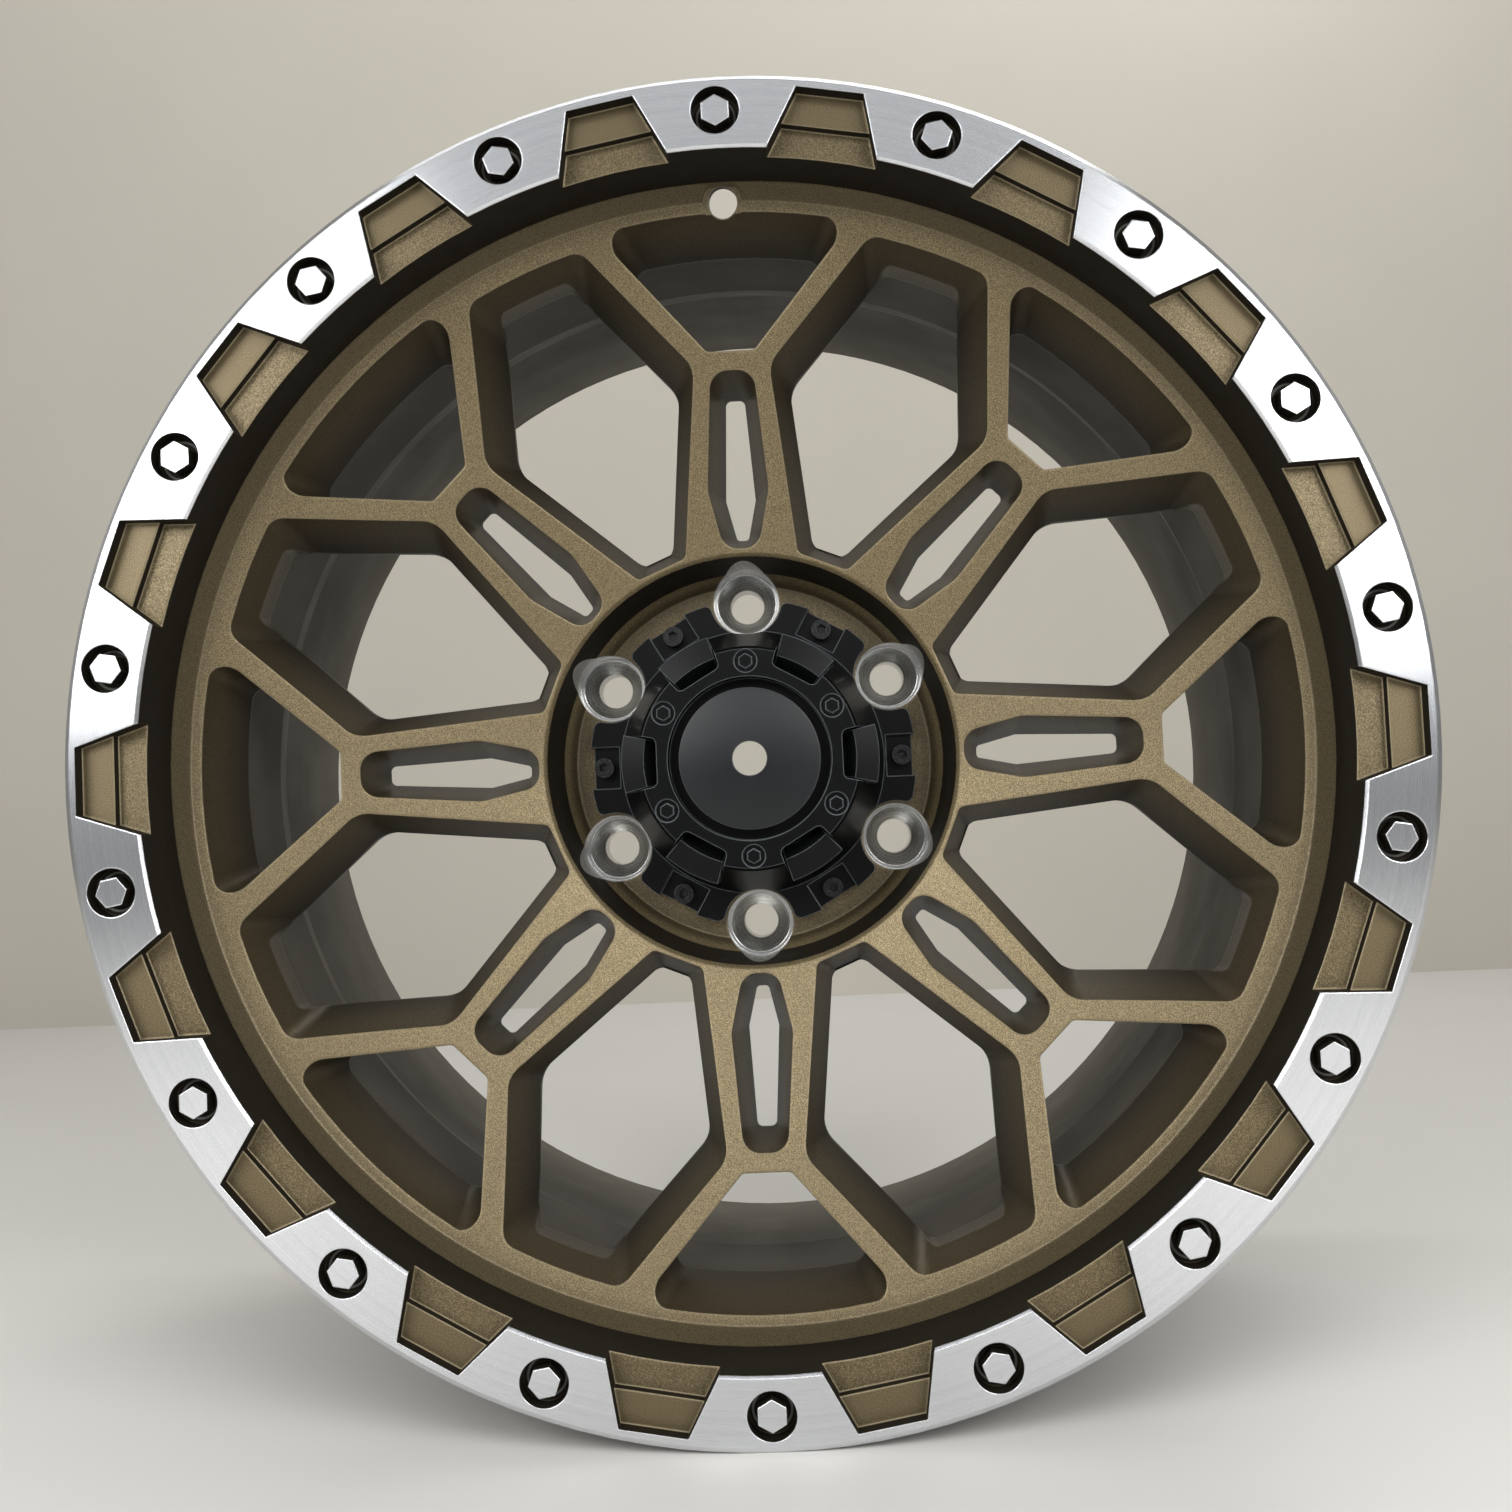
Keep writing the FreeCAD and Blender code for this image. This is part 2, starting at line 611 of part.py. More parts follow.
def slot_outline(body, name, sink, rounds):
    """A slot's outline in a plane that lies parallel to the spoke face, sunk below it."""
    offset = d.slot_draft * sink
    stretch = (1 + d.face_slope * d.face_slope).root()
    top, belly, low = (y * stretch for y in (d.slot_top_y, d.slot_belly_y, d.slot_low_y))
    end_round, belly_round = rounds
    right = [
        (d.slot_low_half - offset * d.slot_low_narrowing, low + offset * d.slot_low_shift, end_round),
        (d.slot_belly_half - offset, belly + offset * d.slot_belly_shift, belly_round),
        (d.slot_top_half - offset * d.slot_top_shift, top - offset * d.slot_top_shift, end_round),
    ]
    left = [(-x, y, rounding) for x, y, rounding in reversed(right)]
    axis_depth = d.face_depth + d.face_slope * d.ring_r
    sketch = new_sketch(body, name, height=at(axis_depth + sink), turn=f"atan({d.face_slope.formula})",
                        turn_axis="x")
    draw_rounded(sketch, right + left)
    return sketch


def cut_slots(body):
    """Tapered slots along the middle of the spokes."""
    ends = (d.slot_round, d.slot_belly_round)
    top = slot_outline(body, "slot_top", -d.slot_lift, ends)
    low = slot_outline(body, "slot_low", d.slot_sink, (d.slot_low_round,) * 2)
    slot = cut_between(body, "slot", top, low)
    doc.recompute()
    repeat(body, "slots", [slot], d.spokes)


def cut_lip(body):
    """Hexagons that stand in round recesses, and stepped pockets midway between them."""
    hex_sketch = new_sketch(body, "hexagon_outline", height=FRONT)
    place = (as_size(0.0), d.pad_hex_r)
    draw_circle(hex_sketch, place, d.pad_recess_r)
    draw_hexagon(hex_sketch, place, d.pad_hex_across)
    recess = cut_along(body, "hexagon_recess", hex_sketch, d.pad_recess_depth)
    features = [recess]
    floors = (
        ("pocket", d.pocket_outer_y, d.pocket_depth),
        ("pocket_low", d.pocket_step_y, d.pocket_low_depth),
    )
    for name, outer_y, depth in floors:
        outer_half = d.pocket_outer_half + d.pocket_lean * (d.pocket_outer_y - outer_y)
        inner_half = d.pocket_outer_half + d.pocket_lean * (d.pocket_outer_y - d.pocket_inner_y)
        sketch = new_sketch(body, f"{name}_outline", height=FRONT, turn=turn_from_top(d.pads))
        draw_polygon(sketch, [
            (-outer_half, outer_y),
            (-inner_half, d.pocket_inner_y),
            (inner_half, d.pocket_inner_y),
            (outer_half, outer_y),
        ])
        features.append(cut_along(body, name, sketch, depth))
    doc.recompute()
    repeat(body, "lip_pattern", features, d.pads)


def cut_hub(body):
    """Lug holes with conical seats, screw holes for the cap and casting recesses at the back."""
    lug_r = d.lug_circle / 2
    pocket_floor = d.hub_floor_depth + d.lug_pocket_depth
    seat_end = pocket_floor + d.lug_seat_depth
    profile = [
        (lug_r, face_at(d.hub_edge_r)),
        (lug_r + d.lug_pocket_r, face_at(d.hub_edge_r)),
        (lug_r + d.lug_pocket_r, pocket_floor),
        (lug_r + d.lug_seat_r, pocket_floor),
        (lug_r + d.lug_hole_r, seat_end),
        (lug_r + d.lug_hole_r, d.mount_depth + CLEAR),
        (lug_r, d.mount_depth + CLEAR),
    ]
    sketch = new_sketch(body, "lug_section", plane="YZ_Plane")
    axis = Part.LineSegment(vector((lug_r, at(profile[0][1]))), vector((lug_r, at(profile[-1][1]))))
    line = sketch.addGeometry(axis, True)
    fix_point(sketch, line, 1, (lug_r, at(profile[0][1])))
    fix_point(sketch, line, 2, (lug_r, at(profile[-1][1])))
    draw_polygon(sketch, [(radius, at(depth)) for radius, depth in profile])
    lug = cut_round(body, "lug_hole", sketch)
    screw_sketch = new_sketch(body, "screw_hole_outline", height=at(d.hub_floor_depth))
    draw_circle(screw_sketch, (d.screw_place_r, as_size(0.0)), d.screw_r + d.screw_fit)
    screw = cut_along(body, "screw_hole", screw_sketch, d.screw_reach + d.screw_hole_spare)
    relief_sketch = new_sketch(body, "relief_outline", height=at(d.mount_depth) + d.relief_depth)
    draw_circle(relief_sketch, (lug_r, as_size(0.0)), d.relief_r)
    relief = cut_along(body, "relief", relief_sketch, d.relief_depth + CLEAR)
    doc.recompute()
    repeat(body, "hub_pattern", [lug, screw, relief], d.lugs)


def cut_valve(body):
    """The valve hole through the ring at the top, tilted so that it clears the rim's rear."""
    for name, radius, length in (("valve_recess", d.valve_recess_r, d.valve_recess_depth),
                                 ("valve_hole", d.valve_r, d.valve_length)):
        sketch = new_sketch(body, f"{name}_outline", height=at(d.valve_plane_depth), shift=d.valve_place_r,
                            turn=d.valve_tilt.formula, turn_axis="x")
        draw_circle(sketch, (as_size(0.0), as_size(0.0)), radius)
        body.Tip = cut_along(body, name, sketch, length)
        doc.recompute()


def make_wheel():
    body = new_body("wheel")
    section = new_sketch(body, "section", plane="XZ_Plane")
    draw_polygon(section, rim_section())
    revolve(body, "turned_rim", section)
    doc.recompute()
    cut_windows(body)
    cut_forks(body)
    cut_slots(body)
    cut_lip(body)
    cut_hub(body)
    cut_valve(body)
    return body


# The centre cap
def cap_section():
    """Radius and height of each corner of the cap's turned section."""
    groove_r = d.cap_disc_r + d.cap_groove_width
    groove_floor = d.cap_depth + d.cap_groove_depth
    flange_front = d.hub_floor_depth - d.cap_flange_thick
    notch_floor = d.cap_depth + d.notch_depth
    inside = notch_floor + d.cap_wall
    corners = [
        (d.cap_hole_r, d.cap_depth),
        (d.cap_disc_r, d.cap_depth + d.cap_disc_drop),
        (d.cap_disc_r, groove_floor),
        (groove_r, groove_floor),
        (groove_r, d.cap_depth),
        (d.cap_land_r - d.cap_land_chamfer, d.cap_depth),
        (d.cap_land_r, d.cap_depth + d.cap_land_chamfer),
        (d.cap_skirt_r, flange_front),
        (d.cap_flange_r, flange_front),
        (d.cap_flange_r, d.hub_floor_depth),
        (d.cap_skirt_r - d.cap_wall, d.hub_floor_depth),
        (d.notch_inner_r, inside),
        (d.cap_disc_r - d.cap_wall, inside),
        (d.cap_disc_r - d.cap_wall, d.cap_depth + d.cap_disc_drop + d.cap_wall),
        (d.cap_hole_r, d.cap_depth + d.cap_wall),
    ]
    return [(radius, at(depth)) for radius, depth in corners]


def make_cap():
    body = new_body("centre_cap")
    section = new_sketch(body, "cap_section", plane="XZ_Plane")
    draw_polygon(section, cap_section())
    revolve(body, "turned_cap", section)
    doc.recompute()

    # Room for the lug seats leaves six lobes in the flange, and their corners are rounded
    room = new_sketch(body, "lug_room_outline", height=at(d.cap_depth))
    draw_circle(room, (as_size(0.0), d.lug_circle / 2), d.lug_pocket_r + d.cap_lug_gap)
    lobes = repeat(body, "lug_rooms", [cut_along(body, "lug_room", room)], d.lugs)
    round_edges(body, "lobe_corners", lobes, upright_edges(lobes, d.cap_flange_r), d.cap_lobe_round)

    # Notches between the lands, each with a wedge block standing in it
    outer_half = d.notch_half + d.notch_widening * (d.cap_flange_r - d.notch_inner_r)
    notch_sketch = new_sketch(body, "notch_outline", height=at(d.cap_depth), turn=turn_from_top(d.lugs))
    draw_rounded(notch_sketch, [
        (-outer_half, d.cap_flange_r, d.notch_round),
        (-d.notch_half, d.notch_inner_r, d.notch_round),
        (d.notch_half, d.notch_inner_r, d.notch_round),
        (outer_half, d.cap_flange_r, d.notch_round),
    ])
    notch = cut_along(body, "notch", notch_sketch, d.notch_depth)
    doc.recompute()
    repeat(body, "notches", [notch], d.lugs)
    wedge_sketch = new_sketch(body, "wedge_section", plane="XZ_Plane")
    floor = d.cap_depth + d.notch_depth + d.cap_wall
    wedge_inner_r = d.notch_inner_r + d.wedge_gap
    draw_polygon(wedge_sketch, [
        (wedge_inner_r, at(floor)),
        (wedge_inner_r, at(d.cap_depth + d.wedge_inner_drop)),
        (d.wedge_crest_r, at(d.cap_depth + d.wedge_crest_drop)),
        (d.wedge_outer_r, at(d.cap_depth + d.wedge_outer_drop)),
        (d.wedge_outer_r, at(d.hub_floor_depth - d.cap_flange_thick)),
    ])
    wedge = revolve(body, "wedge", wedge_sketch, d.wedge_angle)
    doc.recompute()
    repeat(body, "wedges", [wedge], d.lugs)

    # Moulded bolts on the lands
    bolt_sketch = new_sketch(body, "moulded_bolt_outline", height=at(d.cap_depth))
    place = (as_size(0.0), d.bolt_place_r)
    draw_circle(bolt_sketch, place, d.bolt_recess_r)
    draw_hexagon(bolt_sketch, place, d.bolt_across)
    bolt = cut_along(body, "moulded_bolt", bolt_sketch, d.bolt_depth)

    # Lowered seats, dents in the lobes' edges and clearance holes for the screws
    flange_front = at(d.hub_floor_depth - d.cap_flange_thick)
    through_flange = d.cap_flange_thick + CLEAR
    cuts = [bolt]
    for name, inner, depth in (("screw_seat", d.screw_pocket_r, d.screw_pocket_depth),
                               ("lobe_dent", d.lobe_dent_r, through_flange)):
        sketch = new_sketch(body, f"{name}_outline", height=flange_front)
        outer = d.cap_flange_r + CLEAR
        draw_polygon(sketch, [
            (inner, -d.screw_pocket_half),
            (outer, -d.screw_pocket_half),
            (outer, d.screw_pocket_half),
            (inner, d.screw_pocket_half),
        ])
        cuts.append(cut_along(body, name, sketch, depth))
    hole_sketch = new_sketch(body, "screw_clearance_outline", height=flange_front)
    draw_circle(hole_sketch, (d.screw_place_r, as_size(0.0)), d.screw_r + d.screw_clearance)
    cuts.append(cut_along(body, "screw_clearance_hole", hole_sketch, through_flange))
    doc.recompute()
    repeat(body, "cap_details", cuts, d.lugs)
    return body


# The cap screws
def make_screws():
    body = new_body("cap_screws")
    seat = d.hub_floor_depth - d.cap_flange_thick + d.screw_pocket_depth
    sketch = new_sketch(body, "head_outline", height=at(seat))
    place = (d.screw_place_r, as_size(0.0))
    draw_circle(sketch, place, d.screw_head_r)
    head = body.newObject("PartDesign::Pad", "head")
    head.Profile = sketch
    head.setExpression("Length", d.screw_head.formula)
    shank_sketch = new_sketch(body, "shank_outline", height=at(seat))
    draw_circle(shank_sketch, place, d.screw_r)
    shank = body.newObject("PartDesign::Pad", "shank")
    shank.Profile = shank_sketch
    shank.Reversed = True
    shank.setExpression("Length", (d.hub_floor_depth - seat + d.screw_reach).formula)
    socket_sketch = new_sketch(body, "socket_outline", height=at(seat) + d.screw_head)
    draw_hexagon(socket_sketch, place, d.screw_socket_across)
    socket = cut_along(body, "socket", socket_sketch, d.screw_socket)
    doc.recompute()
    repeat(body, "screw_ring", [head, shank, socket], d.lugs)
    return body


nodes = [make_wheel(), make_cap(), make_screws()]
doc.recompute()

for item in doc.Objects:
    if "Invalid" in item.State or "Error" in item.State:
        raise RuntimeError(f"{item.Label} failed: {item.State}")
for node in nodes:
    if node.Shape.isNull() or not node.Shape.isValid():
        raise RuntimeError(f"{node.Label} has no valid shape")

os.makedirs("parts", exist_ok=True)
for node in nodes:
    node.Shape.exportStep(f"parts/{node.Label}.step")
    box = node.Shape.BoundBox
    print(f"{node.Label}: {len(node.Shape.Solids)} solids, {node.Shape.Volume:.0f} mm3, "
          f"x {box.XMin:.1f}..{box.XMax:.1f}, y {box.YMin:.1f}..{box.YMax:.1f}, "
          f"z {box.ZMin:.1f}..{box.ZMax:.1f}")
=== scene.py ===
"""Looks of a cast alloy wheel: bronze paint, a bright turned lip, bare lug seats and a black centre cap."""

import math

import bpy
from mathutils import Euler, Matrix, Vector


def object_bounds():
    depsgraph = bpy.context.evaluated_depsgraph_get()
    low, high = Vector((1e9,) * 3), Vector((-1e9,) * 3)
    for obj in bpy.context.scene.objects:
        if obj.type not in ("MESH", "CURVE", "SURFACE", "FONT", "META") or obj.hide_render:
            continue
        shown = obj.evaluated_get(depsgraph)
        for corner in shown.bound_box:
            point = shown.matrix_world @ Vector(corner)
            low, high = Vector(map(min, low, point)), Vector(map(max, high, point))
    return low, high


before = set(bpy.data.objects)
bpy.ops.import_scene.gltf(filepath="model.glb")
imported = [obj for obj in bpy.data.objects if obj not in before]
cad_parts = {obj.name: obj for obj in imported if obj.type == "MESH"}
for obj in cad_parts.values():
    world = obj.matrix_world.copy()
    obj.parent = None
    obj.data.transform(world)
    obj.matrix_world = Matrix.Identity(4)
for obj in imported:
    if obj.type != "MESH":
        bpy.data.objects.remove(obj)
cad_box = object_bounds()

# Sizes of the wheel in metres, as the frame has them; depths count from the front of the lip
MM = 0.001
FRONT_Y = cad_box[0].y
FLOOR_Z = cad_box[0].z
LUG_CIRCLE_R = 139.7 * MM / 2
LUG_COUNT = 6
HEXAGON_COUNT = 18
HEXAGON_RING_R = 0.2354
RECESS_FLOOR_DEPTH = 0.0070
RECESS_RING_HIGHLIGHT_R = 0.0070
LIP_INNER_R = 0.2215
POCKET_INNER_R = 0.217
POCKET_DEPTH = 0.0125
FACE_RING_R = 0.205
FACE_RING_DEPTH = 0.040
FACE_SLOPE = 0.335
HUB_FLOOR_DEPTH = 0.112
HUB_WALL_R = 0.085
CAP_DISC_R = 0.0288
DISC_DOME = 0.0015

# Limits between the finishes: radii, depths, and how squarely a face looks to the front
LIP_ZONE_R = 0.2200
LIP_ZONE_DEPTH = 0.0026
LIP_WALL_R = LIP_INNER_R - 4 * MM
BARREL_R = 0.203
FACE_BACK_DEPTH = 0.070
HUB_EDGE_R = HUB_WALL_R + 4 * MM
SEAT_TOP_DEPTH = HUB_FLOOR_DEPTH + 0.2 * MM
SEAT_ZONE_R = 0.01462
RELIEF_TOP_DEPTH = 0.075
HUB_PAD_R = 0.089
MOUNT_DEPTH = 0.138
DEPTH_SLACK = 0.0004
OUTER_FACING = 0.9
FRONT_FACING = 0.75
FLAT_FACING = 0.5
SIDE_FACING = 0.30
UPRIGHT_FACING = 0.03
BACK_FACING = -0.15

# Radii to which the edges of each finish are shaded round
PAINT_EDGE_R = 0.0014
DARK_EDGE_R = 0.0010
LIP_EDGE_R = 0.0008
SEAT_EDGE_R = 0.0006
PAD_EDGE_R = 0.0008
BARREL_EDGE_R = 0.0012
CAP_EDGE_R = 0.0007
SCREW_EDGE_R = 0.0004
EDGE_SAMPLES = 6

# Painted edge highlights begin where the rounded normal turns from the flat face, given as cosines
EDGE_BEGINS = 0.995
EDGE_FULL = 0.80

# Ranges of a noise: where most of its values lie, and where each kind of mark begins and is full
MID_NOISE = (0.3, 0.7)
FLAKE_RANGE = (0.42, 0.62)
CLOUD_RANGE = (0.35, 0.65)
DARK_FLAKE_RANGE = (0.55, 0.7)
STAIN_RANGE = (0.5, 0.75)
RUB_RANGE = (0.45, 0.7)

# Sockets of the mix node when it mixes colours
MIX_SHARE = 0
MIX_FIRST = 6
MIX_SECOND = 7
MIX_RESULT = 2

# The photo's viewpoint, and a lens that sees as wide as the photo does
CAMERA_AT = (0.02046, -0.64928, -0.02311)
CAMERA_TURN_DEG = (92.3236, 2.5460, 1.8374)
LENS_MM = 34.667
SENSOR_MM = 36.0

# The studio: half its width, the wall's place and height, and the level of the light all round
STUDIO_HALF = 4.0
WALL_Y = 1.15
WALL_TOP = 4.0
WORLD_LEVEL = 0.20
FAINT_SHADE = 0.94
WHEEL_CENTRE = (0.0, 0.0, 0.0)

# Soft lamps: name, place, point they look at, width, height and watts
LAMPS = (
    ("left_key", (-1.30, -1.75, 0.75), WHEEL_CENTRE, 1.3, 1.1, 29.0),
    ("right_key", (1.30, -1.75, 0.75), WHEEL_CENTRE, 1.3, 1.1, 29.0),
    ("floor_wash", (0.0, -0.62, 0.22), (0.0, -0.60, FLOOR_Z), 1.4, 0.3, 5.3),
    ("top_card", (0.0, -1.1, 0.9), (0.0, -0.5, FLOOR_Z), 1.2, 0.3, 2.0),
    ("rear_fill", (0.5, 1.0, 1.5), WHEEL_CENTRE, 0.9, 0.4, 8.0),
    ("wall_wash", (0.0, 0.45, 2.2), (0.0, WALL_Y, 0.2), 2.5, 0.5, 20.0),
)


def linear(red, green, blue):
    """A colour as a screen shows it, 0 to 255, turned by the usual screen curve into what shaders take."""
    out = []
    for level in (red, green, blue):
        part = level / 255
        out.append(part / 12.92 if part <= 0.04045 else ((part + 0.055) / 1.055) ** 2.4)
    return (*out, 1.0)


# Colours of the bronze paint, with its painted shade and painted edge highlight
BRONZE_BASE = linear(84, 73, 51)
BRONZE_FLAKE = linear(132, 118, 88)
BRONZE_CLOUD = linear(102, 90, 66)
BRONZE_SIDE_WALL_SHADE = linear(50, 42, 28)
BRONZE_LIP_WALL_SHADE = linear(46, 39, 27)
BRONZE_HUB_WALL_SHADOW = linear(40, 34, 22)
BRONZE_POCKET = linear(62, 52, 34)
BRONZE_EDGE_HIGHLIGHT = linear(172, 160, 132)
BRONZE_THIN_AND_SHADED = linear(32, 29, 24)

# Colours of the dark paint, which is also painted shade, and of the barrel, with painted light towards its
# rear
DARK_LOW = linear(20, 17, 12)
DARK_HIGH = linear(30, 26, 18)
DARK_FLAKE = linear(60, 52, 38)
DARK_EDGE_HIGHLIGHT = linear(110, 98, 74)
RECESS_RING_HIGHLIGHT = linear(122, 120, 114)
BARREL_LOW = linear(44, 41, 36)
BARREL_HIGH = linear(55, 51, 45)
BARREL_REAR_LIGHT = linear(104, 100, 91)

# Colours of the bare metal
LIP_LOW = linear(200, 202, 206)
LIP_HIGH = linear(222, 224, 226)
SEAT_LOW = linear(158, 158, 156)
SEAT_HIGH = linear(206, 206, 204)
SEAT_SHADE_IN_WALL = linear(72, 71, 68)
PAD_LOW = linear(150, 150, 147)
PAD_HIGH = linear(186, 186, 183)
PAD_STAIN = linear(112, 108, 100)

# Colours of the cap and its screws
CAP_LOW = linear(4, 5, 5)
CAP_HIGH = linear(7, 8, 8)
CAP_EDGE_HIGHLIGHT = linear(120, 126, 130)
# The disc's colours are lighter than the cap's as painted sheen
DISC_SHEEN_LOW = linear(12, 14, 16)
DISC_SHEEN_HIGH = linear(17, 20, 22)
DISC_EDGE_HIGHLIGHT = linear(96, 100, 104)
SCREW_LOW = linear(20, 20, 22)
SCREW_HIGH = linear(38, 38, 40)
SCREW_EDGE_HIGHLIGHT = linear(120, 120, 120)

# Colours of the studio
FLOOR_COLOUR = linear(206, 204, 200)
WALL_COLOUR = linear(190, 185, 173)
WORLD_COLOUR = linear(226, 228, 232)


class Graph:
    """A material's node tree, with short ways to add the nodes that this scene uses."""

    def __init__(self, name):
        self.material = bpy.data.materials.new(name)
        self.material.use_nodes = True
        self.nodes = self.material.node_tree.nodes
        self.links = self.material.node_tree.links
        self.nodes.clear()
        self.shader = self.nodes.new("ShaderNodeBsdfPrincipled")
        output = self.nodes.new("ShaderNodeOutputMaterial")
        self.links.new(self.shader.outputs["BSDF"], output.inputs["Surface"])

    def put(self, socket, value):
        """Links a socket to another one, or sets it to a plain value."""
        if isinstance(value, bpy.types.NodeSocket):
            self.links.new(value, socket)
        else:
            socket.default_value = value

    def set(self, **values):
        """Sets the shader's sockets by their names."""
        for name, value in values.items():
            self.put(self.shader.inputs[name.replace("_", " ")], value)

    def math(self, operation, *values):
        node = self.nodes.new("ShaderNodeMath")
        node.operation = operation
        for socket, value in zip(node.inputs, values):
            self.put(socket, value)
        return node.outputs[0]

    def product(self, first, second):
        return self.math("MULTIPLY", first, second)

    def length(self, across, up):
        """Length of a line from its two parts at right angles."""
        squares = self.math("ADD", self.math("POWER", across, 2.0), self.math("POWER", up, 2.0))
        return self.math("SQRT", squares)

    def ramp(self, value, low, high, to_low=0.0, to_high=1.0):
        """A soft step: to_low at low, to_high at high."""
        node = self.nodes.new("ShaderNodeMapRange")
        node.interpolation_type = "SMOOTHSTEP"
        for name, number in (
            ("Value", value),
            ("From Min", low),
            ("From Max", high),
            ("To Min", to_low),
            ("To Max", to_high),
        ):
            self.put(node.inputs[name], number)
        return node.outputs["Result"]

    def mix(self, share, first, second):
        """The first colour, with a share of the second."""
        node = self.nodes.new("ShaderNodeMix")
        node.data_type = "RGBA"
        self.put(node.inputs[MIX_SHARE], share)
        self.put(node.inputs[MIX_FIRST], first)
        self.put(node.inputs[MIX_SECOND], second)
        return node.outputs[MIX_RESULT]

    def noise(self, scale, detail, vector=None):
        node = self.nodes.new("ShaderNodeTexNoise")
        node.inputs["Scale"].default_value = scale
        node.inputs["Detail"].default_value = detail
        self.put(node.inputs["Vector"], vector or self.place())
        return node.outputs["Fac"]

    def place(self):
        """The point in the wheel's own frame, in metres."""
        return self.nodes.new("ShaderNodeTexCoord").outputs["Object"]

    def facing(self):
        """How squarely the surface looks to the front: 1 straight to it, 0 sideways."""
        normal = self.nodes.new("ShaderNodeTexCoord").outputs["Normal"]
        return self.product(self.split(normal)[1], -1.0)

    def split(self, vector):
        node = self.nodes.new("ShaderNodeSeparateXYZ")
        self.put(node.inputs[0], vector)
        return node.outputs

    def join(self, x, y, z):
        node = self.nodes.new("ShaderNodeCombineXYZ")
        for socket, value in zip(node.inputs, (x, y, z)):
            self.put(socket, value)
        return node.outputs[0]

    def radius(self):
        """Distance from the wheel's axis."""
        x, _, z = self.split(self.place())
        return self.length(x, z)

    def depth(self):
        """Depth behind the front of the lip."""
        return self.math("SUBTRACT", self.split(self.place())[1], FRONT_Y)

    def distance_to_ring(self, count, ring_radius):
        """Distance from the nearest of the axes that stand evenly in a ring, one of them at the top."""
        x, _, z = self.split(self.place())
        step = math.tau / count
        turns = self.math("ROUND", self.math("DIVIDE", self.math("ARCTAN2", x, z), step))
        nearest = self.product(turns, step)
        axis_x = self.product(self.math("SINE", nearest), ring_radius)
        axis_z = self.product(self.math("COSINE", nearest), ring_radius)
        return self.length(self.math("SUBTRACT", x, axis_x), self.math("SUBTRACT", z, axis_z))

    def rounded(self, radius):
        """Normals as if the edges were rounded to this radius."""
        bevel = self.nodes.new("ShaderNodeBevel")
        bevel.samples = EDGE_SAMPLES
        bevel.inputs["Radius"].default_value = radius
        return bevel.outputs[0]

    def edge_highlight_share(self, normal, share):
        """The given share of painted edge highlight where the rounded normals turn from the flat face, and
        0 elsewhere.
        """
        dot = self.nodes.new("ShaderNodeVectorMath")
        dot.operation = "DOT_PRODUCT"
        self.put(dot.inputs[0], normal)
        self.put(dot.inputs[1], self.nodes.new("ShaderNodeNewGeometry").outputs["Normal"])
        return self.ramp(dot.outputs["Value"], EDGE_BEGINS, EDGE_FULL, to_high=share)

    def bump(self, height, distance, strength, normal):
        node = self.nodes.new("ShaderNodeBump")
        node.inputs["Distance"].default_value = distance
        node.inputs["Strength"].default_value = strength
        self.put(node.inputs["Height"], height)
        self.put(node.inputs["Normal"], normal)
        return node.outputs[0]


